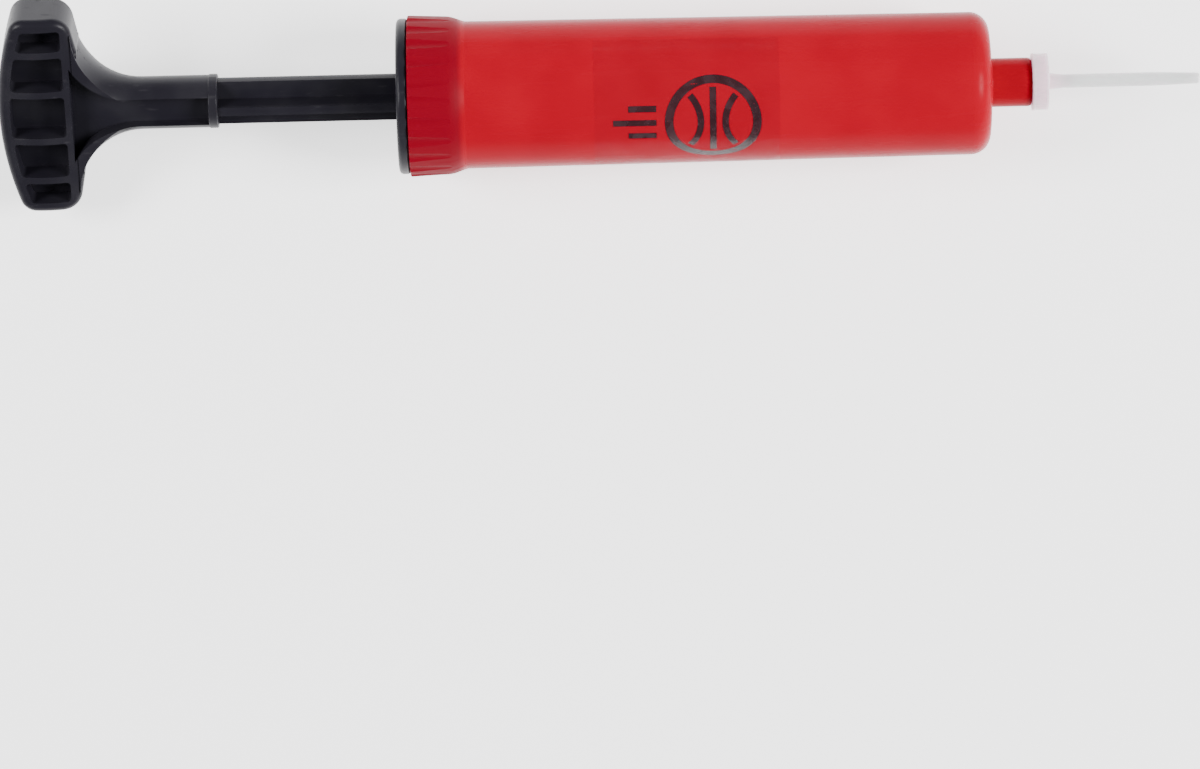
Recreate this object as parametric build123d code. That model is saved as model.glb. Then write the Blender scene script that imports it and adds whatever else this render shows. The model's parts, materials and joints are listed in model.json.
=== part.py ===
from build123d import *
from math import sqrt
import os

# Ball inflation pump, in millimetres. It is drawn with its axis on X, the needle towards +X and the
# back rim of the collar at x = 0. The last step moves it to the middle of its own footprint.

# How the pump is left lying
pulled_out = 35.3
handle_turn = 32.0

# Barrel moulding: collar, tube, front end and nozzle
barrel_length = 114.4
bore_r = 12.8
barrel_back_wall = 1.7
barrel_front_wall = 1.2
barrel_back_r = bore_r + barrel_back_wall
barrel_front_r = bore_r + barrel_front_wall
front_rounding = 3.8
front_crown = 0.5
front_wall = 2.0
bore_end_rounding = 1.0
collar_length = 8.4
collar_back_step = 1.35
collar_front_step = 1.0
collar_back_r = barrel_back_r + collar_back_step
collar_front_r = barrel_back_r + collar_front_step
collar_rim_rounding = 0.3
collar_front_rounding = 6.0
shoulder_length = 2.8
shoulder_foot_rounding = 1.0
flute_count = 24
flute_width = 2.8
flute_depth = 0.42
nozzle_r = 4.8
nozzle_length = 8.0
nozzle_rounding = 0.7
nozzle_root_fillet = 0.3

# End cap
cap_flange = 2.2
cap_flange_inset = 0.55
cap_flange_r = collar_back_r - cap_flange_inset
cap_back_rounding = 0.9
cap_front_rounding = 0.6
cap_plug_length = 8.0
mouth_step = 0.7
cap_plug_r = bore_r + mouth_step
cap_plug_wall = 1.5
cap_guide_wall = 1.7
cap_rib_count = 6
cap_rib = 1.2
cap_rib_setback = 1.0
snap_height = 0.3
snap_length = 1.6
snap_x = 4.2

# T-handle, neck and rod, measured from the face at the end of the neck, which meets the cap
palm_reach = 42.9
palm_arc_r = 62.0
bar_half_length = 21.4
bar_thickness = 11.6
bar_dome_r = 24.0
flare_thickness = 10.0
bar_under_reach = 26.9
bar_end_under_reach = 28.3
bar_under_flat = 14.0
palm_corner_r = 3.2
under_corner_r = 4.0
bar_edge_rounding = 1.5
rod_r = 4.78
neck_step = 0.42
neck_r = rod_r + neck_step
neck_flare_r = 13.0
flare_sunk = 1.0
neck_ring_step = 0.15
neck_ring_r = neck_r + neck_ring_step
neck_ring = 1.8
neck_ring_rounding = 0.3
middle_pocket_half = 4.45
inner_pocket = 7.35
outer_pocket = 4.4
pocket_rib = 1.45
palm_rim = 2.3
under_rim = 2.9
pocket_rounding = 0.8
bar_web = 2.4
recess_gap = 1.2
recess_half_width = 10.5
recess_arc_r = 14.2
channel_half_width = 3.0
channel_web = 4.0
rod_rib = 1.8
rod_end_boss = 13.0

# Piston: head, cup, washer and screw
head_plate = 2.4
head_gap = 0.5
head_plate_r = bore_r - head_gap
head_hub_length = 7.0
head_hub_wall = 2.22
head_hub_r = rod_r + head_hub_wall
head_boss_r = 2.6
cup_base = 1.6
cup_base_gap = 1.2
cup_base_r = bore_r - cup_base_gap
cup_wall = 1.2
cup_lip_wall = 0.7
cup_flare = 0.7
cup_depth = 6.0
washer_thickness = 1.4
washer_gap = 3.2
washer_r = bore_r - washer_gap
screw_head = 1.6
screw_head_r = 2.8
screw_length = 13.0
screw_core_r = 1.05
screw_crest_r = 1.4
screw_pitch = 1.25
screw_point = 1.5
screw_slot = 0.7
screw_slot_length = 3.6
screw_slot_depth = 0.8
piston_front_gap = 0.6

# Outlet valve
valve_boss_length = 3.5
valve_boss_r = 4.8
valve_chamber_r = 3.2
valve_seat_length = 2.2
seat_hole_r = 1.0
seat_lip_r = 1.5
seat_lip = 0.4
disc_r = 2.3
disc_thickness = 1.0
disc_spigot_r = 0.9
disc_spigot = 1.2
spring_wire_r = 0.18
spring_r = 1.45
spring_coils = 4.5
outlet_passage_r = 0.9
outlet_wall = 1.0

# Needle and its gasket
thread_r = 3.0
thread_depth = 0.55
thread_pitch = 1.0
thread_length = 3.6
thread_lead_in = 0.4
needle_stem = 5.2
hub_length = 3.25
hub_r = 5.65
hub_rounding = 0.2
hub_lip = 0.12
hub_lip_length = 0.5
needle_root_r = 1.65
needle_root = 3.3
needle_r = 1.35
needle_straight = 17.0
needle_length = 29.9
needle_tip_r = 1.05
needle_tip_rounding = 0.5
needle_bore_r = 0.5
gasket_r = 3.9
gasket_thickness = 0.9
socket_spare = 0.4

# Label
label_back_x = 36.3
label_length = 36.2
label_start_angle = 49.0
label_arc = 140.0
label_thickness = 0.08

# Clearances: sliding and turning fits, hand-assembled fits, and faces that just meet
running_fit = 0.05
cup_fit = 0.03
plug_fit = 0.05
face_gap = 0.02
stop_gap = 0.05

# Small edge roundings, and how far a cut runs past the face that it opens
small_edge = 0.2
soft_edge = 0.5
overcut = 1.0

# Places along the axis, with the plunger pushed fully in
front_x = barrel_length
nozzle_x = front_x + nozzle_length
bore_end_x = front_x - front_crown - front_wall
valve_x = bore_end_x - valve_boss_length
seat_front_x = valve_x + valve_seat_length
disc_x = seat_front_x + seat_lip + face_gap
thread_floor_x = nozzle_x - needle_stem - socket_spare
chamber_end_x = thread_floor_x - outlet_wall
neck_face_x = -(cap_flange + stop_gap)
screw_front_x = valve_x - piston_front_gap
washer_front_x = screw_front_x - screw_head
washer_back_x = washer_front_x - washer_thickness
head_front_x = washer_back_x - cup_base - 2 * face_gap
rod_end_x = head_front_x - head_plate
head_back_x = rod_end_x - head_hub_length


def turned(*corners):
    """Solid of revolution about the pump's axis, from (x, radius, rounding) corners."""
    points = [(x, r) for x, r, rounding in corners]
    radii = [rounding for x, r, rounding in corners]
    return revolve(make_face(FilletPolyline(*points, radius=radii, close=True)), Axis.X)


def tube(start_x, end_x, outer_r, inner_r=0.0):
    """Plain ring or cylinder on the axis."""
    return turned((start_x, inner_r, 0), (start_x, outer_r, 0), (end_x, outer_r, 0), (end_x, inner_r, 0))


def thread_ridge(start_x, length, crest_r, depth, pitch):
    """Right-hand V ridge whose foot is sunk a little into the core that it runs round."""
    root_r = crest_r - depth
    sunk = 0.1
    foot = 0.4 * pitch
    crest = 0.08 * pitch
    path = Helix(pitch, length, root_r, center=(start_x, 0, 0), direction=(1, 0, 0))
    start = path @ 0
    section = Plane(start, x_dir=Vector(0, start.Y, start.Z), z_dir=path % 0)
    outline = Polygon((-sunk, -foot), (depth, -crest), (depth, crest), (-sunk, foot), align=None)
    return sweep(section * outline, path=path, is_frenet=True)


def barrel_surface_r(x):
    """Outside radius of the tapered tube, between shoulder and front end."""
    back_x = collar_length + shoulder_length
    share = (x - back_x) / (front_x - front_crown - back_x)
    return barrel_back_r + share * (barrel_front_r - barrel_back_r)


def snap_ring(plug_r):
    """Low ridge round the cap's plug, and the groove for it when drawn a little larger."""
    half = snap_length / 2
    return turned(
        (snap_x - half, plug_r - overcut, 0),
        (snap_x - half, plug_r, 0),
        (snap_x, plug_r + snap_height, small_edge),
        (snap_x + half, plug_r, 0),
        (snap_x + half, plug_r - overcut, 0),
    )


def barrel():
    """One red moulding: fluted collar, tapered tube, front end and nozzle."""
    body = turned(
        (0, 0, 0),
        (0, collar_back_r, collar_rim_rounding),
        (collar_length, collar_front_r, collar_front_rounding),
        (collar_length + shoulder_length, barrel_back_r, shoulder_foot_rounding),
        (front_x - front_crown, barrel_front_r, front_rounding),
        (front_x, nozzle_r, nozzle_root_fillet),
        (nozzle_x, nozzle_r, nozzle_rounding),
        (nozzle_x, 0, 0),
    )
    plug_socket = tube(-overcut, cap_plug_length + plug_fit, cap_plug_r + plug_fit)
    bore = turned(
        (0, 0, 0), (0, bore_r, 0), (bore_end_x, bore_r, bore_end_rounding), (bore_end_x, 0, 0)
    )
    bore -= tube(valve_x, bore_end_x + overcut, valve_boss_r)
    body -= plug_socket
    body -= snap_ring(cap_plug_r + plug_fit)
    body -= bore
    body -= tube(valve_x - overcut, chamber_end_x, valve_chamber_r)
    body -= tube(chamber_end_x - overcut, thread_floor_x + overcut, outlet_passage_r)
    body -= tube(thread_floor_x, nozzle_x + overcut, thread_r + running_fit)
    body -= tube(nozzle_x - gasket_thickness, nozzle_x + overcut, gasket_r + running_fit)
    flute_r = (flute_width ** 2 / 4 + flute_depth ** 2) / (2 * flute_depth)
    flute_axis_r = collar_back_r - flute_depth + flute_r
    flute = Pos(0, flute_axis_r, 0) * tube(-overcut, collar_length + shoulder_length, flute_r)
    step = 360 / flute_count
    for i in range(flute_count):
        body -= Rot(X=(i + 0.5) * step) * flute
    return body


def end_cap():
    """Flanged plug with a snap ridge and a long guide for the rod."""
    guide_r = rod_r + running_fit
    flange = turned(
        (-cap_flange, guide_r, small_edge),
        (-cap_flange, cap_flange_r, cap_back_rounding),
        (0, cap_flange_r, cap_front_rounding),
        (0, guide_r, 0),
    )
    plug = tube(-overcut, cap_plug_length, cap_plug_r, cap_plug_r - cap_plug_wall)
    guide = tube(-overcut, cap_plug_length, guide_r + cap_guide_wall, guide_r)
    ridge = snap_ring(cap_plug_r)
    cap = flange + plug + guide + ridge
    rib_inner_r = guide_r + cap_guide_wall / 2
    rib_outer_r = cap_plug_r - cap_plug_wall / 2
    rib_length = cap_plug_length - cap_rib_setback
    rib = Box(rib_length, rib_outer_r - rib_inner_r, cap_rib)
    rib = Pos(rib_length / 2, (rib_outer_r + rib_inner_r) / 2, 0) * rib
    for i in range(cap_rib_count):
        cap += Rot(X=i * 360 / cap_rib_count) * rib
    return cap


def palm_x(u, rim=0.0):
    """Where the palm's arc, or the line a rim's width inside it, crosses the height u."""
    r = palm_arc_r - rim
    return -palm_reach + palm_arc_r - sqrt(r ** 2 - u ** 2)


def near(value, target):
    """True for two lengths that are the same but for rounding."""
    return abs(value - target) < 1e-4


def bar():
    """Cross bar of the T: arched on the palm side, domed on both faces, rounded at its ends."""
    half = bar_half_length
    palm = ThreePointArc((palm_x(half), -half), (-palm_reach, 0), (palm_x(half), half))
    under = Polyline(
        (palm_x(half), half),
        (-bar_end_under_reach, half),
        (-bar_under_reach, bar_under_flat),
        (-bar_under_reach, -bar_under_flat),
        (-bar_end_under_reach, -half),
        (palm_x(half), -half),
    )
    face = make_face(palm + under)
    palm_corners = [v for v in face.vertices() if near(v.X, palm_x(half))]
    face = fillet(palm_corners, palm_corner_r)
    under_corners = [v for v in face.vertices() if near(v.X, -bar_end_under_reach)]
    face = fillet(under_corners, under_corner_r)
    solid = extrude(face, amount=bar_thickness / 2, both=True)
    dome = Rot(X=90) * Cylinder(bar_dome_r, 2 * bar_half_length + overcut)
    dome_x = -(palm_reach + bar_under_reach) / 2
    for side in (-1, 1):
        solid &= Pos(dome_x, 0, side * (bar_dome_r - bar_thickness / 2)) * dome
    rims = [e for e in solid.edges() if e.bounding_box().size.Z < bar_thickness / 2]
    return fillet([e for e in rims if not near(e.center().X, -bar_under_reach)], bar_edge_rounding)


def neck():
    """Round neck that flares into the bar, flat on both faces, with its stop ring."""
    flare_x = -bar_under_reach - flare_sunk + neck_flare_r
    flare_end_r = neck_r + neck_flare_r
    profile = Polyline((-neck_ring / 2, 0), (-neck_ring / 2, neck_r), (flare_x, neck_r))
    middle = neck_flare_r / sqrt(2)
    profile += ThreePointArc(
        (flare_x, neck_r),
        (flare_x - middle, flare_end_r - middle),
        (flare_x - neck_flare_r, flare_end_r),
    )
    root_x = flare_x - neck_flare_r
    profile += Polyline((root_x, flare_end_r), (root_x, 0), (-neck_ring / 2, 0))
    flare = revolve(make_face(profile), Axis.X)
    flare &= Box(2 * palm_reach, 2 * bar_half_length, flare_thickness)
    ring = turned(
        (-neck_ring, 0, 0),
        (-neck_ring, neck_ring_r, neck_ring_rounding),
        (0, neck_ring_r, neck_ring_rounding),
        (0, 0, 0),
    )
    return flare + ring


def pockets():
    """Cuts for one face of the grip: the bar's pockets, the recess and the neck's channel."""
    lows = [-middle_pocket_half, middle_pocket_half + pocket_rib]
    highs = [middle_pocket_half, lows[1] + inner_pocket]
    lows.append(highs[1] + pocket_rib)
    highs.append(lows[2] + outer_pocket)
    depth = bar_thickness - bar_web / 2
    cuts = []
    for low, high in zip(lows, highs):
        inner_x = -bar_under_reach - under_rim
        middle_u = (low + high) / 2
        palm = ThreePointArc(
            (palm_x(low, palm_rim), low),
            (palm_x(middle_u, palm_rim), middle_u),
            (palm_x(high, palm_rim), high),
        )
        sides = Polyline(
            (palm_x(high, palm_rim), high), (inner_x, high), (inner_x, low), (palm_x(low, palm_rim), low)
        )
        face = make_face(palm + sides)
        face = fillet(face.vertices(), pocket_rounding)
        cut = Pos(0, 0, bar_web / 2) * extrude(face, amount=depth)
        cuts.append(cut)
        if low > 0:
            cuts.append(mirror(cut, about=Plane.XZ))
    recess_x = -bar_under_reach - under_rim + recess_gap
    arc_u = channel_half_width + recess_arc_r
    arc_x = recess_x + sqrt(recess_arc_r ** 2 - (arc_u - recess_half_width) ** 2)
    middle = recess_arc_r / sqrt(2)
    arc = ThreePointArc(
        (recess_x, recess_half_width), (arc_x - middle, arc_u - middle), (arc_x, channel_half_width)
    )
    channel_end_x = -neck_ring
    half = arc + Polyline(
        (arc_x, channel_half_width), (channel_end_x, channel_half_width), (channel_end_x, 0),
        (recess_x, 0), (recess_x, recess_half_width),
    )
    half = make_face(half)
    recess = half + mirror(half, about=Plane.XZ)
    cuts.append(Pos(0, 0, channel_web / 2) * extrude(recess, amount=depth))
    return cuts


def handle_rod():
    """T-handle, neck and rod in one moulding, with a pilot hole for the piston's screw."""
    rod_length = rod_end_x - neck_face_x
    grip = bar() + neck()
    for cut in pockets():
        grip -= cut
        grip -= mirror(cut, about=Plane.XY)
    ribs = Box(rod_length, 2 * rod_r, rod_rib) + Box(rod_length, rod_rib, 2 * rod_r)
    ribs = Pos(rod_length / 2, 0, 0) * ribs
    rod = ribs & tube(0, rod_length, rod_r)
    rod += tube(rod_length - rod_end_boss, rod_length, rod_r)
    moulding = grip + rod
    pilot = screw_length - (washer_front_x - rod_end_x) + overcut
    moulding -= tube(rod_length - pilot, rod_length + overcut, screw_core_r + face_gap)
    return Pos(neck_face_x, 0, 0) * moulding


def piston_head():
    """Plate behind the cup, with a socket for the rod and a boss through the cup."""
    solid = tube(head_back_x, rod_end_x, head_hub_r)
    solid += turned(
        (rod_end_x, 0, 0),
        (rod_end_x, head_plate_r, soft_edge),
        (head_front_x, head_plate_r, small_edge),
        (head_front_x, 0, 0),
    )
    solid += tube(head_front_x - overcut, washer_back_x, head_boss_r)
    solid -= tube(head_back_x - overcut, rod_end_x, rod_r + face_gap)
    solid -= tube(rod_end_x - overcut, washer_back_x + overcut, screw_crest_r + plug_fit)
    return solid


def piston_cup():
    """Rubber cup whose lip points to the front and just fills the bore."""
    back_x = head_front_x + face_gap
    base_x = back_x + cup_base
    lip_x = back_x + cup_depth
    lip_r = bore_r - cup_fit
    wall_r = cup_base_r + cup_flare
    hole_r = head_boss_r + cup_fit
    return turned(
        (back_x, hole_r, 0),
        (back_x, cup_base_r, soft_edge),
        (base_x, wall_r, soft_edge),
        (lip_x, lip_r, small_edge),
        (lip_x, lip_r - cup_lip_wall, small_edge),
        (base_x, wall_r - cup_wall, soft_edge),
        (base_x, hole_r, 0),
    )


def cup_washer():
    """Disc that holds the cup on its boss."""
    hole_r = screw_crest_r + plug_fit
    return turned(
        (washer_back_x, hole_r, 0),
        (washer_back_x, washer_r, small_edge),
        (washer_front_x, washer_r, soft_edge),
        (washer_front_x, hole_r, 0),
    )


def piston_screw():
    """Self-tapping pan-head screw with a cross slot."""
    point_x = washer_front_x - screw_length
    solid = turned(
        (point_x, 0, 0),
        (point_x + screw_point, screw_core_r, 0),
        (washer_front_x, screw_core_r, 0),
        (washer_front_x, screw_head_r, small_edge),
        (screw_front_x, screw_head_r, 2 * soft_edge),
        (screw_front_x, 0, 0),
    )
    thread_x = point_x + screw_point
    thread_end_x = rod_end_x - screw_pitch / 2
    solid += thread_ridge(
        thread_x, thread_end_x - thread_x, screw_crest_r, screw_crest_r - screw_core_r, screw_pitch
    )
    slot = Box(2 * screw_slot_depth, screw_slot_length, screw_slot)
    slot = Pos(screw_front_x, 0, 0) * slot
    return solid - slot - Rot(X=90) * slot


def valve_seat():
    """Plug behind the nozzle: a hole with a raised lip for the disc."""
    outer_r = valve_chamber_r - face_gap / 2
    return turned(
        (valve_x, seat_hole_r, 0),
        (valve_x, outer_r, 0),
        (seat_front_x, outer_r, small_edge),
        (seat_front_x, seat_lip_r, 0),
        (seat_front_x + seat_lip, seat_lip_r - small_edge, 0),
        (seat_front_x + seat_lip, seat_hole_r, 0),
    )


def valve_disc():
    """Rubber disc with a spigot that centres the spring."""
    disc_front_x = disc_x + disc_thickness
    spigot_x = disc_front_x + disc_spigot
    return turned(
        (disc_x, 0, 0),
        (disc_x, disc_r, small_edge),
        (disc_front_x, disc_r, small_edge),
        (disc_front_x, disc_spigot_r, 0),
        (spigot_x, disc_spigot_r, small_edge),
        (spigot_x, 0, 0),
    )


def valve_spring():
    """Light coil spring between the disc and the end of the valve chamber."""
    start_x = disc_x + disc_thickness + face_gap + spring_wire_r
    height = chamber_end_x - face_gap - spring_wire_r - start_x
    path = Helix(height / spring_coils, height, spring_r, center=(start_x, 0, 0), direction=(1, 0, 0))
    section = Plane(path @ 0, z_dir=path % 0) * Circle(spring_wire_r)
    return sweep(section, path=path, is_frenet=True)


def needle_gasket():
    """Rubber ring in the nozzle's mouth, under the needle's hub."""
    return tube(
        nozzle_x - gasket_thickness + face_gap, nozzle_x, gasket_r, thread_r + running_fit
    )


def needle():
    """Milky plastic needle: threaded stem, round hub and tapered tube."""
    hub_x = nozzle_x + face_gap
    root_x = hub_x + hub_length
    tip_x = root_x + needle_length
    core_r = thread_r - thread_depth
    solid = turned(
        (hub_x - needle_stem, 0, 0),
        (hub_x - needle_stem, core_r, small_edge),
        (hub_x, core_r, 0),
        (hub_x, hub_r, hub_rounding),
        (hub_x + hub_lip_length, hub_r, 0),
        (hub_x + hub_lip_length + hub_lip, hub_r - hub_lip, 0),
        (root_x - hub_lip_length - hub_lip, hub_r - hub_lip, 0),
        (root_x - hub_lip_length, hub_r, 0),
        (root_x, hub_r, hub_rounding),
        (root_x, needle_root_r, 0),
        (root_x + needle_root, needle_r, 0),
        (root_x + needle_root + needle_straight, needle_r, 0),
        (tip_x, needle_tip_r, needle_tip_rounding),
        (tip_x, 0, 0),
    )
    ridge_x = hub_x - needle_stem + thread_lead_in
    solid += thread_ridge(ridge_x, thread_length, thread_r, thread_depth, thread_pitch)
    return solid - tube(hub_x - needle_stem - overcut, tip_x + overcut, needle_bore_r)


def label_film():
    """Clear sticker that wraps part of the tube."""
    back_x = label_back_x
    end_x = back_x + label_length
    inner = [(back_x, barrel_surface_r(back_x)), (end_x, barrel_surface_r(end_x))]
    outer = [(x, r + label_thickness) for x, r in reversed(inner)]
    strip = Rot(X=label_start_angle) * make_face(Polyline(*inner, *outer, close=True))
    return revolve(strip, Axis.X, label_arc)


def plunger(solid):
    """Moves a piece of the plunger from fully in to where it is left lying."""
    return Pos(-pulled_out, 0, 0) * Rot(X=handle_turn) * solid


pieces = {
    "handle_rod": plunger(handle_rod()),
    "end_cap": end_cap(),
    "barrel": barrel(),
    "label_film": label_film(),
    "piston_head": plunger(piston_head()),
    "piston_cup": plunger(piston_cup()),
    "cup_washer": plunger(cup_washer()),
    "piston_screw": plunger(piston_screw()),
    "valve_seat": valve_seat(),
    "valve_disc": valve_disc(),
    "valve_spring": valve_spring(),
    "needle_gasket": needle_gasket(),
    "needle": needle(),
}

boxes = [solid.bounding_box() for solid in pieces.values()]
low_x = min(box.min.X for box in boxes)
high_x = max(box.max.X for box in boxes)
axis_height = -min(box.min.Z for box in boxes)
middle_x = (low_x + high_x) / 2
to_footprint = Pos(-middle_x, 0, axis_height)
print(f"axis height {axis_height:.4f}, middle x {middle_x:.4f}, length {high_x - low_x:.4f}")

os.makedirs("parts", exist_ok=True)
for name, solid in pieces.items():
    export_step(to_footprint * solid, f"parts/{name}.step")
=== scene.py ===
# %% [markdown]
# # A ball inflation pump, lying on a pale table
# The imported model gives every piece its place and its motion. This notebook gives the pieces their
# looks. It loads the model first and reads the boxes of its pieces. Nothing made here may grow past
# it.

# %% Load the fixed frame
import json
import math

import bmesh
import bpy
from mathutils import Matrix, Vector


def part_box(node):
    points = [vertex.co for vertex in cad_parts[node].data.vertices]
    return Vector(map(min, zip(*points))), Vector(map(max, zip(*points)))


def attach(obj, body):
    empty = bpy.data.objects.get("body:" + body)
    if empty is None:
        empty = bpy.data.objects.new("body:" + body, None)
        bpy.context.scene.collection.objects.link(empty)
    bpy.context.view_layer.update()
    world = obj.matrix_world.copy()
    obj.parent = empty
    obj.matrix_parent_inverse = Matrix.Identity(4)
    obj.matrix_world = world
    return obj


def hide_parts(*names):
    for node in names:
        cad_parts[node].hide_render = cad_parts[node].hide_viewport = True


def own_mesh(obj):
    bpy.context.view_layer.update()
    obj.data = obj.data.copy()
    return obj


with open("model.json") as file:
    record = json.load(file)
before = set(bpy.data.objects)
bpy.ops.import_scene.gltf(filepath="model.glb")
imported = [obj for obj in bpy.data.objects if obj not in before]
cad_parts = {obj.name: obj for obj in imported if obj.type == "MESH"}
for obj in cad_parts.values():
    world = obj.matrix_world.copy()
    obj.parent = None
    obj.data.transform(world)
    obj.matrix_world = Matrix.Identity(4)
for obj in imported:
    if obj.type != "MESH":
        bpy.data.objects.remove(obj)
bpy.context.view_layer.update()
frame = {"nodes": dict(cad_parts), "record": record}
print("CAD nodes:", sorted(frame["nodes"]))

# %% [markdown]
# ## Measures that the pieces share
# All places come from the frame. The pump lies along X. Its axis is level with the middle of the
# barrel, and the collar's back rim is the barrel's lowest x.

# %% Axis and stations
MM = 0.001
barrel_low, barrel_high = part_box("barrel")
HANDLE_END_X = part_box("handle_rod")[0].x
NEEDLE_END_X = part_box("needle")[1].x
AXIS_Z = (barrel_low.z + barrel_high.z) / 2
RIM_X = barrel_low.x
NOZZLE_X = barrel_high.x
PUMP_LENGTH = NEEDLE_END_X - HANDLE_END_X
print(f"axis {AXIS_Z / MM:.2f} mm up, pump {PUMP_LENGTH / MM:.1f} mm long")

# %% [markdown]
# ## Table, light and camera
# A pale table and soft lights give even light with faint shadows. The table glows a little, like a
# light table, which lifts the plastic's lower edges. The camera looks straight down from well above,
# so there is hardly any perspective. It is turned by a little more than a degree, which makes the
# pump rise slightly towards its needle.

# %% Table
TABLE_HALF = 3.0
TABLE_SHADE = (0.94, 0.94, 0.95, 1)
TABLE_GLOW = 1.5
TABLE_ROUGHNESS = 0.8
TABLE_SPECULAR = 0.2


def flat_sheet(name, half, height):
    mesh = bpy.data.meshes.new(name)
    corners = [(-half, -half, height), (half, -half, height), (half, half, height), (-half, half, height)]
    mesh.from_pydata(corners, [], [(0, 1, 2, 3)])
    sheet = bpy.data.objects.new(name, mesh)
    bpy.context.scene.collection.objects.link(sheet)
    return sheet


table = flat_sheet("table", TABLE_HALF, 0.0)
table_finish = bpy.data.materials.new("pale_table")
table_finish.use_nodes = True
table_shader = table_finish.node_tree.nodes["Principled BSDF"]
table_shader.inputs["Base Color"].default_value = TABLE_SHADE
table_shader.inputs["Roughness"].default_value = TABLE_ROUGHNESS
table_shader.inputs["Specular IOR Level"].default_value = TABLE_SPECULAR
table_shader.inputs["Emission Color"].default_value = (1, 1, 1, 1)
table_shader.inputs["Emission Strength"].default_value = TABLE_GLOW
table.data.materials.append(table_finish)

# %% Camera
CAMERA_DISTANCE = 1.2
CAMERA_TURN = math.radians(1.34)
PUMP_ABOVE_CENTRE = 0.2439
EDGE_ALLOWANCE = 1.0008
SENSOR_WIDTH = 36.0
FRAME_WIDTH = PUMP_LENGTH * math.cos(CAMERA_TURN) * EDGE_ALLOWANCE

camera_data = bpy.data.cameras.new("camera")
camera_data.sensor_width = SENSOR_WIDTH
camera_data.lens = camera_data.sensor_width * CAMERA_DISTANCE / FRAME_WIDTH
camera = bpy.data.objects.new("camera", camera_data)
bpy.context.scene.collection.objects.link(camera)
image_up = Vector((math.sin(CAMERA_TURN), math.cos(CAMERA_TURN), 0))
camera.location = Vector((0, 0, AXIS_Z + CAMERA_DISTANCE)) - image_up * PUMP_ABOVE_CENTRE * FRAME_WIDTH
camera.rotation_euler = (0, 0, -CAMERA_TURN)
bpy.context.scene.camera = camera
print(f"lens {camera_data.lens:.0f} mm")

# %% Lights
END_LIGHT_SIZE = (0.5, 0.5)
GRIP_LIGHT_WATTS = 20.0
NEEDLE_LIGHT_WATTS = 30.0
FAR_LIGHT_WATTS = 0.4
WORLD_STRENGTH = 0.22


def soft_light(name, place, size, power):
    data = bpy.data.lights.new(name, "AREA")
    data.shape = "RECTANGLE"
    data.size, data.size_y = size
    data.energy = power
    light = bpy.data.objects.new(name, data)
    bpy.context.scene.collection.objects.link(light)
    light.location = place
    light.rotation_euler = (-Vector(place)).to_track_quat("-Z", "Y").to_euler()


# A round bar lying along X mirrors only what is beside and above it, never what is past its ends, so
# lights past the ends colour it without washing it out.
soft_light("past_the_grip", (-1.0, 0.1, 0.85), END_LIGHT_SIZE, GRIP_LIGHT_WATTS)
soft_light("past_the_needle", (1.0, -0.1, 0.85), END_LIGHT_SIZE, NEEDLE_LIGHT_WATTS)
soft_light("far_side", (0.0, 1.2, 0.5), (0.6, 0.2), FAR_LIGHT_WATTS)

world = bpy.data.worlds.new("studio")
world.use_nodes = True
world.node_tree.nodes["Background"].inputs["Color"].default_value = (1, 1, 1, 1)
world.node_tree.nodes["Background"].inputs["Strength"].default_value = WORLD_STRENGTH
bpy.context.scene.world = world

# %% [markdown]
# ## Node helpers
# Every finish here is made of the same few things: a slow cloud that varies the colour, a fine grain
# that bends the light, and scuffs that change the gloss. Small helpers keep each finish short. All
# patterns read Object coordinates, so they stay put on a piece when it moves.

# %% A new finish and its pattern nodes


def new_finish(name):
    finish = bpy.data.materials.new(name)
    finish.use_nodes = True
    tree = finish.node_tree
    shader = tree.nodes["Principled BSDF"]
    place = tree.nodes.new("ShaderNodeTexCoord").outputs["Object"]
    return finish, tree, shader, place


def stretched(tree, place, stretch):
    mapping = tree.nodes.new("ShaderNodeMapping")
    mapping.inputs["Scale"].default_value = stretch
    tree.links.new(place, mapping.inputs["Vector"])
    return mapping.outputs["Vector"]


def cloud(tree, place, size_mm, detail=2.0, stretch=(1, 1, 1)):
    """Noise whose patches are about size_mm across before they are stretched."""
    node = tree.nodes.new("ShaderNodeTexNoise")
    node.inputs["Scale"].default_value = 1 / (size_mm * MM)
    node.inputs["Detail"].default_value = detail
    tree.links.new(stretched(tree, place, stretch), node.inputs["Vector"])
    return node.outputs["Fac"]


def ramp(tree, value, low, high, out_low=0.0, out_high=1.0):
    node = tree.nodes.new("ShaderNodeMapRange")
    node.interpolation_type = "SMOOTHSTEP"
    for key, number in zip(("From Min", "From Max", "To Min", "To Max"), (low, high, out_low, out_high)):
        node.inputs[key].default_value = number
    tree.links.new(value, node.inputs["Value"])
    return node.outputs["Result"]


def blend_shades(tree, share, first, second):
    """first and second are colours or sockets; share goes from the first to the second."""
    node = tree.nodes.new("ShaderNodeMix")
    node.data_type = "RGBA"
    tree.links.new(share, node.inputs["Factor"])
    for key, shade in (("A", first), ("B", second)):
        socket = [s for s in node.inputs if s.name == key and s.type == "RGBA"][0]
        if isinstance(shade, tuple):
            socket.default_value = (*shade, 1)
        else:
            tree.links.new(shade, socket)
    return [s for s in node.outputs if s.type == "RGBA"][0]


def combine(tree, first, second, operation="ADD"):
    node = tree.nodes.new("ShaderNodeMath")
    node.operation = operation
    for socket, value in zip(node.inputs, (first, second)):
        if isinstance(value, (int, float)):
            socket.default_value = value
        else:
            tree.links.new(value, socket)
    return node.outputs["Value"]


def grain(tree, shader, height, depth_mm, strength=1.0):
    """Small bumps of a stated depth on the shader's normal."""
    node = tree.nodes.new("ShaderNodeBump")
    node.inputs["Strength"].default_value = strength
    node.inputs["Distance"].default_value = depth_mm * MM
    tree.links.new(height, node.inputs["Height"])
    tree.links.new(node.outputs["Normal"], shader.inputs["Normal"])


def settings(shader, **values):
    for key, value in values.items():
        shader.inputs[key.replace("_", " ")].default_value = value


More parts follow.
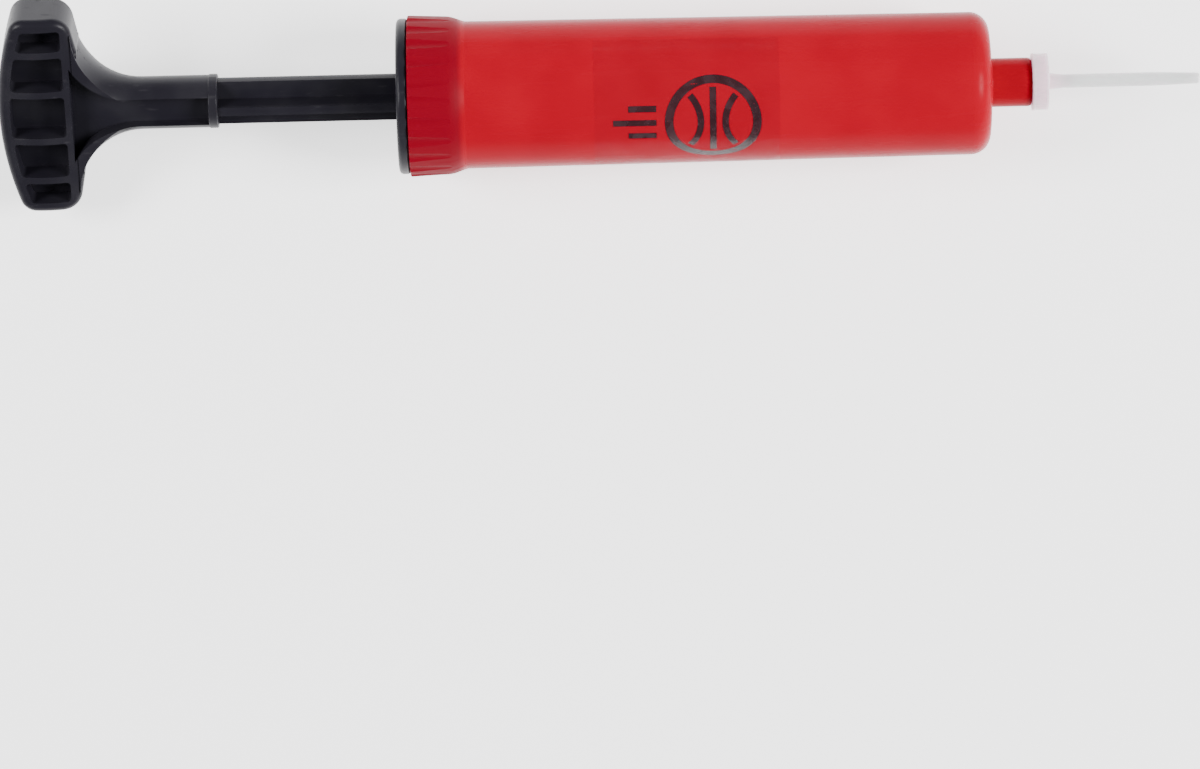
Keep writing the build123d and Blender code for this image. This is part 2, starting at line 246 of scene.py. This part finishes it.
def wear(finish, name):
    """Gives a CAD node this finish through its material slots."""
    node = frame["nodes"][name]
    for holder in node.material_slots:
        holder.material = finish
    print(f"{name}: {finish.name}")


# %% [markdown]
# ## The barrel's red plastic
# The barrel is moulded in polypropylene with a satin skin. It is slightly waxy, so light goes a little
# way in. The fluted collar is painted a darker, duller red than the tube and is made rougher. The pattern
# uses x in Object coordinates to tell the collar from the smooth tube.

# %% Red plastic
RED = (0.38, 0.0006, 0.013)
RED_DEEP = (0.34, 0.0005, 0.011)
RED_COLLAR_DARKER = (0.19, 0.002, 0.011)
COLLAR_END_X = RIM_X + 10.5 * MM

red_plastic, tree, shader, place = new_finish("red_plastic")
split = tree.nodes.new("ShaderNodeSeparateXYZ")
tree.links.new(place, split.inputs["Vector"])
tint = blend_shades(tree, ramp(tree, cloud(tree, place, 14.0), 0.3, 0.7), RED, RED_DEEP)
# The whole collar is painted a darker, duller red than the tube.
in_collar = ramp(tree, split.outputs["X"], COLLAR_END_X - 1 * MM, COLLAR_END_X + 0.5 * MM, 0.9, 0.0)
tree.links.new(blend_shades(tree, in_collar, tint, RED_COLLAR_DARKER), shader.inputs["Base Color"])
scuffs = ramp(tree, cloud(tree, place, 1.6, 4.0, (0.12, 1, 1)), 0.56, 0.74, 0.0, 0.16)
gloss = combine(tree, combine(tree, scuffs, 0.26), combine(tree, in_collar, 0.2, "MULTIPLY"))
tree.links.new(gloss, shader.inputs["Roughness"])
ripple = cloud(tree, place, 2.4, 1.0, (0.25, 1, 1))
grain(tree, shader, combine(tree, ripple, cloud(tree, place, 0.35, 2.0)), 0.012, 0.5)
settings(shader, Subsurface_Weight=0.06, Subsurface_Scale=1.2 * MM, IOR=1.49, Specular_IOR_Level=0.04)
shader.inputs["Subsurface Radius"].default_value = (1.0, 0.25, 0.2)
wear(red_plastic, "barrel")

# %% [markdown]
# ## The handle's and cap's black plastic
# Recycled black polypropylene is never quite black. It is a blue grey with a satin skin, faint flow
# lines along the part and lighter scuffs where hands and the bench rub it.

# %% Black plastic
BLACK = (0.012, 0.011, 0.016)
BLACK_PALE = (0.018, 0.017, 0.022)
BLACK_SCUFF = (0.036, 0.034, 0.04)

black_plastic, tree, shader, place = new_finish("black_plastic")
tint = blend_shades(tree, ramp(tree, cloud(tree, place, 9.0), 0.35, 0.7), BLACK, BLACK_PALE)
rubbed = ramp(tree, cloud(tree, place, 0.9, 5.0, (0.2, 1, 1)), 0.62, 0.78, 0.0, 0.5)
tree.links.new(blend_shades(tree, rubbed, tint, BLACK_SCUFF), shader.inputs["Base Color"])
tree.links.new(combine(tree, rubbed, 0.36), shader.inputs["Roughness"])
flow = cloud(tree, place, 3.0, 1.0, (0.3, 1, 1))
grain(tree, shader, combine(tree, flow, cloud(tree, place, 0.25, 3.0)), 0.015, 0.45)
settings(shader, IOR=1.49, Specular_IOR_Level=0.13)
wear(black_plastic, "handle_rod")
wear(black_plastic, "end_cap")

# %% [markdown]
# ## The needle's milky plastic
# The inflating needle is natural, uncoloured plastic: milky, a little see-through and slightly glossy.
# Red light from the plastic that the hub is screwed into scatters inside it; this is painted into its
# colour as a pink glow, strongest at the hub and fading along the needle.

# %% Milky plastic
MILKY = (0.99, 0.93, 0.97)
MILKY_CLOUD = (0.97, 0.88, 0.94)
# The pink shade below is painted red light from the barrel, not the plastic's own colour.
MILKY_PAINTED_RED_GLOW = (0.99, 0.70, 0.78)
HUB_END_X = NOZZLE_X + 3.6 * MM

milky_plastic, tree, shader, place = new_finish("milky_plastic")
haze = ramp(tree, cloud(tree, place, 3.5, 3.0, (0.5, 1, 1)), 0.3, 0.7)
split = tree.nodes.new("ShaderNodeSeparateXYZ")
tree.links.new(place, split.inputs["Vector"])
# Painted reflected light: a pink glow from the red plastic, strongest at the hub and fading towards the
# tip.
painted_red_glow_share = ramp(tree, split.outputs["X"], HUB_END_X - 1 * MM, HUB_END_X + 6 * MM, 1.0, 0.0)
milk = blend_shades(tree, haze, MILKY, MILKY_CLOUD)
tree.links.new(blend_shades(tree, painted_red_glow_share, milk, MILKY_PAINTED_RED_GLOW), shader.inputs["Base Color"])
sheen = ramp(tree, cloud(tree, place, 0.8, 3.0, (0.3, 1, 1)), 0.4, 0.7, 0.22, 0.36)
tree.links.new(sheen, shader.inputs["Roughness"])
grain(tree, shader, cloud(tree, place, 0.5, 2.0, (0.3, 1, 1)), 0.01, 0.5)
settings(shader, Subsurface_Weight=0.85, Subsurface_Scale=3.0 * MM, IOR=1.49)
shader.inputs["Subsurface Radius"].default_value = (1.0, 0.8, 0.9)
wear(milky_plastic, "needle")

# %% [markdown]
# ## The pieces inside
# Nobody sees these until the pump is taken apart, but each still gets the finish of its stuff: pale
# unpainted plastic, black rubber with a bloom of dust, and plated steel with turning marks.

# %% Natural plastic
NATURAL = (0.72, 0.70, 0.62)
NATURAL_WARM = (0.66, 0.62, 0.52)

natural_plastic, tree, shader, place = new_finish("natural_plastic")
warmth = ramp(tree, cloud(tree, place, 5.0), 0.35, 0.7)
tree.links.new(blend_shades(tree, warmth, NATURAL, NATURAL_WARM), shader.inputs["Base Color"])
tree.links.new(ramp(tree, cloud(tree, place, 0.7, 4.0), 0.4, 0.7, 0.38, 0.52), shader.inputs["Roughness"])
grain(tree, shader, cloud(tree, place, 0.4, 3.0), 0.012, 0.5)
settings(shader, Subsurface_Weight=0.2, Subsurface_Scale=1.0 * MM)

# %% Black rubber
RUBBER = (0.012, 0.012, 0.013)
RUBBER_BLOOM = (0.06, 0.06, 0.065)

black_rubber, tree, shader, place = new_finish("black_rubber")
bloom = ramp(tree, cloud(tree, place, 1.5, 6.0), 0.45, 0.75)
tree.links.new(blend_shades(tree, bloom, RUBBER, RUBBER_BLOOM), shader.inputs["Base Color"])
tree.links.new(ramp(tree, bloom, 0.0, 1.0, 0.5, 0.8), shader.inputs["Roughness"])
grain(tree, shader, cloud(tree, place, 0.3, 4.0), 0.02, 0.6)

# %% Steel
STEEL = (0.60, 0.60, 0.62)
STEEL_DULL = (0.45, 0.44, 0.43)

steel, tree, shader, place = new_finish("steel")
tarnish = ramp(tree, cloud(tree, place, 1.2, 5.0), 0.5, 0.75)
tree.links.new(blend_shades(tree, tarnish, STEEL, STEEL_DULL), shader.inputs["Base Color"])
tree.links.new(ramp(tree, tarnish, 0.0, 1.0, 0.24, 0.5), shader.inputs["Roughness"])
grain(tree, shader, cloud(tree, place, 0.12, 2.0, (6, 1, 1)), 0.004, 0.5)
settings(shader, Metallic=1.0)

# %% Give each inner node the finish of its slot
FINISH_OF_SLOT = {"natural_plastic": natural_plastic, "black_rubber": black_rubber, "steel": steel}
INNER_NODES = ("piston_head", "cup_washer", "piston_screw", "piston_cup", "valve_seat", "valve_disc",
               "needle_gasket")
slot_of = {part["node"]: part["material_slot"] for part in frame["record"]["subparts"]}
for name in INNER_NODES:
    wear(FINISH_OF_SLOT[slot_of[name]], name)

# %% [markdown]
# ## The valve spring
# A light coil spring holds the outlet valve's disc on its seat. A coil follows a rule, so Geometry
# Nodes draw it: a spiral for the path, a small circle for the wire, and a turn that lays it along X.

# %% A coil from a spiral and a wire
spring_low, spring_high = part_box("valve_spring")
SPRING_LENGTH = spring_high.x - spring_low.x
WIRE_RADIUS = 0.18 * MM
END_ROOM = 1.1 * WIRE_RADIUS
COIL_STEPS = 40
WIRE_SIDES = 14
COIL_RADIUS = (spring_high.z - spring_low.z) / 2 - WIRE_RADIUS
COIL_TURNS = 4.5
COIL_INPUTS = {"Turns": COIL_TURNS, "Coil Radius": COIL_RADIUS, "Wire Radius": WIRE_RADIUS,
               "Length": SPRING_LENGTH - 2 * END_ROOM}

coil = bpy.data.node_groups.new("coil_spring", "GeometryNodeTree")
for label in COIL_INPUTS:
    coil.interface.new_socket(label, in_out="INPUT", socket_type="NodeSocketFloat")
coil.interface.new_socket("Finish", in_out="INPUT", socket_type="NodeSocketMaterial")
coil.interface.new_socket("Geometry", in_out="OUTPUT", socket_type="NodeSocketGeometry")
coil_in = coil.nodes.new("NodeGroupInput").outputs
coil_out = coil.nodes.new("NodeGroupOutput").inputs
spiral = coil.nodes.new("GeometryNodeCurveSpiral")
spiral.inputs["Resolution"].default_value = COIL_STEPS
coil.links.new(coil_in["Turns"], spiral.inputs["Rotations"])
for end in ("Start Radius", "End Radius"):
    coil.links.new(coil_in["Coil Radius"], spiral.inputs[end])
coil.links.new(coil_in["Length"], spiral.inputs["Height"])
wire = coil.nodes.new("GeometryNodeCurvePrimitiveCircle")
wire.inputs["Resolution"].default_value = WIRE_SIDES
coil.links.new(coil_in["Wire Radius"], wire.inputs["Radius"])
bent = coil.nodes.new("GeometryNodeCurveToMesh")
coil.links.new(spiral.outputs[0], bent.inputs["Curve"])
coil.links.new(wire.outputs[0], bent.inputs["Profile Curve"])
bent.inputs["Fill Caps"].default_value = True
laid = coil.nodes.new("GeometryNodeTransform")
laid.inputs["Rotation"].default_value = (0, math.radians(90), 0)
laid.inputs["Translation"].default_value = (spring_low.x + END_ROOM, 0, AXIS_Z)
coil.links.new(bent.outputs[0], laid.inputs["Geometry"])
realized = coil.nodes.new("GeometryNodeRealizeInstances")
coil.links.new(laid.outputs[0], realized.inputs[0])
plated = coil.nodes.new("GeometryNodeSetMaterial")
coil.links.new(realized.outputs[0], plated.inputs["Geometry"])
coil.links.new(coil_in["Finish"], plated.inputs["Material"])
coil.links.new(plated.outputs[0], coil_out[0])


def plain_piece(name, source, modifier_tree, wanted):
    """The modifier's result as a plain, closed mesh with its faces outwards, at the origin."""
    modifier = source.modifiers.new("make", "NODES")
    modifier.node_group = modifier_tree
    for item in modifier_tree.interface.items_tree:
        if item.in_out == "INPUT" and item.name in wanted:
            modifier[item.identifier] = wanted[item.name]
    evaluated = source.evaluated_get(bpy.context.evaluated_depsgraph_get())
    mesh = bpy.data.meshes.new_from_object(evaluated)
    bpy.data.objects.remove(source)
    shape = bmesh.new()
    shape.from_mesh(mesh)
    bmesh.ops.remove_doubles(shape, verts=shape.verts, dist=0.0001 * MM)
    bmesh.ops.recalc_face_normals(shape, faces=shape.faces)
    open_edges = sum(1 for edge in shape.edges if len(edge.link_faces) != 2)
    shape.to_mesh(mesh)
    shape.free()
    piece = bpy.data.objects.new(name, mesh)
    bpy.context.scene.collection.objects.link(piece)
    print(f"{name}: {len(mesh.polygons)} faces, {open_edges} open edges")
    return piece


blank = bpy.data.objects.new("coil_blank", bpy.data.meshes.new("coil_blank"))
bpy.context.scene.collection.objects.link(blank)
coil_spring = plain_piece("coil_spring", blank, coil, dict(COIL_INPUTS, Finish=steel))
for polygon in coil_spring.data.polygons:
    polygon.use_smooth = True
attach(coil_spring, "cylinder")
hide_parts("valve_spring")
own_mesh(coil_spring)

# %% [markdown]
# ## The label: a film and its print
# The label is a clear film stuck round the top of the tube, printed on its underside. A flat sheet
# and flat strokes are easy to draw, and one Geometry Nodes tree then rolls either of them onto the
# tapered tube and gives it a thickness. The tube's two radii, the film's length and its first angle
# are measured on the CAD film.

# %% Measure the CAD film
film_low, film_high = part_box("label_film")
film_points = [v.co for v in frame["nodes"]["label_film"].data.vertices]


def ring_radii(x):
    reach = [math.hypot(p.y, p.z - AXIS_Z) for p in film_points if abs(p.x - x) < 0.01 * MM]
    return min(reach), max(reach)


def film_angles():
    """From +Y towards +Z. The film reaches past the far side, so the jump is put underneath the tube."""
    turns = [math.atan2(p.z - AXIS_Z, p.y) for p in film_points]
    turns = [t + 2 * math.pi if t < -math.pi / 2 else t for t in turns]
    return min(turns), max(turns)


BACK_RADIUS = ring_radii(film_low.x)[0]
FRONT_RADIUS = ring_radii(film_high.x)[0]
FILM_LENGTH = film_high.x - film_low.x
FILM_START, FILM_STOP = film_angles()
FILM_WIDTH = (FILM_STOP - FILM_START) * (BACK_RADIUS + FRONT_RADIUS) / 2
print(f"film {FILM_LENGTH / MM:.1f} x {FILM_WIDTH / MM:.1f} mm, radius {BACK_RADIUS / MM:.2f} mm")

# %% The tree that rolls a flat shape onto the tube
ROLL_INPUTS = ("Back Radius", "Front Radius", "Length", "Back X", "Start Angle", "Axis Height", "Lift",
               "Thickness")
roll = bpy.data.node_groups.new("roll_onto_tube", "GeometryNodeTree")
roll.interface.new_socket("Geometry", in_out="INPUT", socket_type="NodeSocketGeometry")
for label in ROLL_INPUTS:
    roll.interface.new_socket(label, in_out="INPUT", socket_type="NodeSocketFloat")
roll.interface.new_socket("Finish", in_out="INPUT", socket_type="NodeSocketMaterial")
roll.interface.new_socket("Geometry", in_out="OUTPUT", socket_type="NodeSocketGeometry")
roll_in = roll.nodes.new("NodeGroupInput").outputs
roll_out = roll.nodes.new("NodeGroupOutput").inputs
flat_place = roll.nodes.new("ShaderNodeSeparateXYZ")
roll.links.new(roll.nodes.new("GeometryNodeInputPosition").outputs[0], flat_place.inputs[0])


def maths(operation, *values):
    node = roll.nodes.new("ShaderNodeMath")
    node.operation = operation
    for socket, value in zip(node.inputs, values):
        roll.links.new(value, socket)
    return node.outputs[0]


along, across = flat_place.outputs["X"], flat_place.outputs["Y"]
taper = maths("SUBTRACT", roll_in["Front Radius"], roll_in["Back Radius"])
share = maths("DIVIDE", along, roll_in["Length"])
tube_radius = maths("ADD", roll_in["Back Radius"], maths("MULTIPLY", taper, share))
turn = maths("ADD", roll_in["Start Angle"], maths("DIVIDE", across, tube_radius))
radius = maths("ADD", tube_radius, roll_in["Lift"])
rolled = roll.nodes.new("ShaderNodeCombineXYZ")
roll.links.new(maths("ADD", roll_in["Back X"], along), rolled.inputs["X"])
roll.links.new(maths("MULTIPLY", radius, maths("COSINE", turn)), rolled.inputs["Y"])
height = maths("MULTIPLY", radius, maths("SINE", turn))
roll.links.new(maths("ADD", roll_in["Axis Height"], height), rolled.inputs["Z"])

# %% Thickness, underside and finish
move = roll.nodes.new("GeometryNodeSetPosition")
roll.links.new(roll_in["Geometry"], move.inputs["Geometry"])
roll.links.new(rolled.outputs[0], move.inputs["Position"])
thicken = roll.nodes.new("GeometryNodeExtrudeMesh")
thicken.inputs["Individual"].default_value = False
roll.links.new(move.outputs[0], thicken.inputs["Mesh"])
roll.links.new(roll_in["Thickness"], thicken.inputs["Offset Scale"])
underside = roll.nodes.new("GeometryNodeFlipFaces")
roll.links.new(move.outputs[0], underside.inputs[0])
shell = roll.nodes.new("GeometryNodeJoinGeometry")
roll.links.new(thicken.outputs["Mesh"], shell.inputs[0])
roll.links.new(underside.outputs[0], shell.inputs[0])
sewn = roll.nodes.new("GeometryNodeMergeByDistance")
sewn.inputs["Distance"].default_value = 0.001 * MM
roll.links.new(shell.outputs[0], sewn.inputs["Geometry"])
real = roll.nodes.new("GeometryNodeRealizeInstances")
roll.links.new(sewn.outputs[0], real.inputs[0])
painted = roll.nodes.new("GeometryNodeSetMaterial")
roll.links.new(real.outputs[0], painted.inputs["Geometry"])
roll.links.new(roll_in["Finish"], painted.inputs["Material"])
roll.links.new(painted.outputs[0], roll_out[0])


def roll_on(name, flat_mesh, lift, thickness, finish):
    """A plain mesh of the flat mesh, rolled onto the tube."""
    flat = bpy.data.objects.new(name + "_flat", flat_mesh)
    bpy.context.scene.collection.objects.link(flat)
    values = (BACK_RADIUS, FRONT_RADIUS, FILM_LENGTH, film_low.x, FILM_START, AXIS_Z, lift, thickness)
    return plain_piece(name, flat, roll, dict(zip(ROLL_INPUTS, values), Finish=finish))


# %% Flat shapes: a sheet and a stroke of ink
FILM_COLUMNS = 24
FILM_ROWS = 72


def add_strip(verts, faces, left, right, closed=False):
    """Faces between two rows of points, wound so that they face away from the tube once rolled."""
    start, count = len(verts), len(left)
    verts.extend((*p, 0) for p in left + right)
    for i in range(count if closed else count - 1):
        j = (i + 1) % count
        faces.append((start + i, start + count + i, start + count + j, start + j))


def flat_film(length, width):
    verts = [(length * i / FILM_COLUMNS, width * j / FILM_ROWS, 0)
             for j in range(FILM_ROWS + 1) for i in range(FILM_COLUMNS + 1)]
    row = FILM_COLUMNS + 1
    faces = [(j * row + i, (j + 1) * row + i, (j + 1) * row + i + 1, j * row + i + 1)
             for j in range(FILM_ROWS) for i in range(FILM_COLUMNS)]
    mesh = bpy.data.meshes.new("film_flat")
    mesh.from_pydata(verts, [], faces)
    return mesh


def stroke(points, width, verts, faces, closed=False):
    """A ribbon of ink along the points."""
    left, right = [], []
    count = len(points)
    for i, p in enumerate(points):
        before = points[i - 1] if i or closed else p
        after = points[(i + 1) % count] if i < count - 1 or closed else p
        step = Vector(after) - Vector(before)
        side = Vector((-step.y, step.x)).normalized() * width / 2
        left.append(tuple(Vector(p) + side))
        right.append(tuple(Vector(p) - side))
    add_strip(verts, faces, left, right, closed)


# %% [markdown]
# ## The print
# The print is a plain picture of what the pump is for: a ball with its seams, and three breaths of
# air going towards it. The strokes stop short of each other, as in a stencil, so none overlap.

# %% Draw the ball and the air
BALL_RADIUS = 8.6 * MM
RING_WIDTH = 1.7 * MM
SEAM_WIDTH = 1.3 * MM
STENCIL_GAP = 0.7 * MM
SEAM_RADIUS = 8.2 * MM
SEAM_OFFSET = 10.6 * MM
AIR_STEP = 2.9 * MM
AIR_GAP = 1.6 * MM
AIR_LENGTHS = (5.5 * MM, 8.5 * MM, 5.5 * MM)
INK_STEP = 0.5 * MM
BALL_PLACE = (0.64, 0.5)
ball_centre = Vector((FILM_LENGTH * BALL_PLACE[0], FILM_WIDTH * BALL_PLACE[1]))
verts, faces = [], []


def arc(centre, radius, start, stop):
    count = max(6, int(abs(stop - start) * radius / INK_STEP))
    turns = [start + (stop - start) * i / count for i in range(count + 1)]
    return [(centre.x + radius * math.cos(t), centre.y + radius * math.sin(t)) for t in turns]


def line(first, last):
    count = max(3, int((last - first).length / INK_STEP))
    return [tuple(first.lerp(last, i / count)) for i in range(count + 1)]


ring = arc(ball_centre, BALL_RADIUS, 0, 2 * math.pi)[:-1]
stroke(ring, RING_WIDTH, verts, faces, closed=True)
inner = BALL_RADIUS - RING_WIDTH / 2 - STENCIL_GAP
stroke(line(ball_centre - Vector((0, inner)), ball_centre + Vector((0, inner))), SEAM_WIDTH, verts, faces)
reach = (SEAM_OFFSET ** 2 + SEAM_RADIUS ** 2 - inner ** 2) / (2 * SEAM_OFFSET * SEAM_RADIUS)
half_turn = math.acos(min(1.0, reach))
for side in (-1, 1):
    centre = ball_centre + Vector((side * SEAM_OFFSET, 0))
    facing = math.pi if side > 0 else 0.0
    stroke(arc(centre, SEAM_RADIUS, facing - half_turn, facing + half_turn), SEAM_WIDTH, verts, faces)
    near_side = SEAM_WIDTH / 2 + STENCIL_GAP
    far_side = SEAM_OFFSET - SEAM_RADIUS - SEAM_WIDTH / 2 - STENCIL_GAP
    if far_side - near_side > SEAM_WIDTH / 4:
        first = ball_centre + Vector((side * near_side, 0))
        last = ball_centre + Vector((side * far_side, 0))
        stroke(line(first, last), SEAM_WIDTH, verts, faces)
air_x = ball_centre.x - BALL_RADIUS - RING_WIDTH / 2 - AIR_GAP
for i, length in enumerate(AIR_LENGTHS):
    level = ball_centre.y + (i - 1) * AIR_STEP
    stroke(line(Vector((air_x - length, level)), Vector((air_x, level))), SEAM_WIDTH, verts, faces)
print_mesh = bpy.data.meshes.new("print_flat")
print_mesh.from_pydata(verts, [], faces)

# %% Film and ink finishes
FILM_TINT = (0.30, 0.02, 0.03)
FILM_TINT_DEEP = (0.20, 0.01, 0.02)
FILM_OPACITY = 0.045
INK = (0.008, 0.007, 0.010)
INK_POOLED = (0.018, 0.013, 0.018)

clear_film, tree, shader, place = new_finish("clear_film")
streaks = cloud(tree, place, 5.0, 2.0, (0.4, 1, 1))
tree.links.new(ramp(tree, streaks, 0.4, 0.7, 0.04, 0.14), shader.inputs["Roughness"])
smear = ramp(tree, cloud(tree, place, 8.0), 0.35, 0.7)
tree.links.new(blend_shades(tree, smear, FILM_TINT, FILM_TINT_DEEP), shader.inputs["Base Color"])
grain(tree, shader, cloud(tree, place, 6.0, 1.0), 0.05, 0.6)
settings(shader, Alpha=FILM_OPACITY, IOR=1.5, Specular_IOR_Level=0.4)

black_ink, tree, shader, place = new_finish("black_ink")
pooled = ramp(tree, cloud(tree, place, 2.5, 3.0), 0.35, 0.7)
tree.links.new(blend_shades(tree, pooled, INK, INK_POOLED), shader.inputs["Base Color"])
tree.links.new(ramp(tree, pooled, 0.0, 1.0, 0.2, 0.34), shader.inputs["Roughness"])
grain(tree, shader, cloud(tree, place, 0.6, 2.0), 0.01, 0.5)

# %% Roll the film and the print onto the tube
INK_LIFT = 0.02 * MM
INK_THICKNESS = 0.03 * MM
FILM_LIFT = 0.06 * MM
FILM_THICKNESS = 0.05 * MM
film_mesh = flat_film(FILM_LENGTH, FILM_WIDTH)
label_film = roll_on("label_sheet", film_mesh, FILM_LIFT, FILM_THICKNESS, clear_film)
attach(label_film, "cylinder")
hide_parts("label_film")
ball_print = roll_on("ball_print", print_mesh, INK_LIFT, INK_THICKNESS, black_ink)
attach(ball_print, "cylinder")
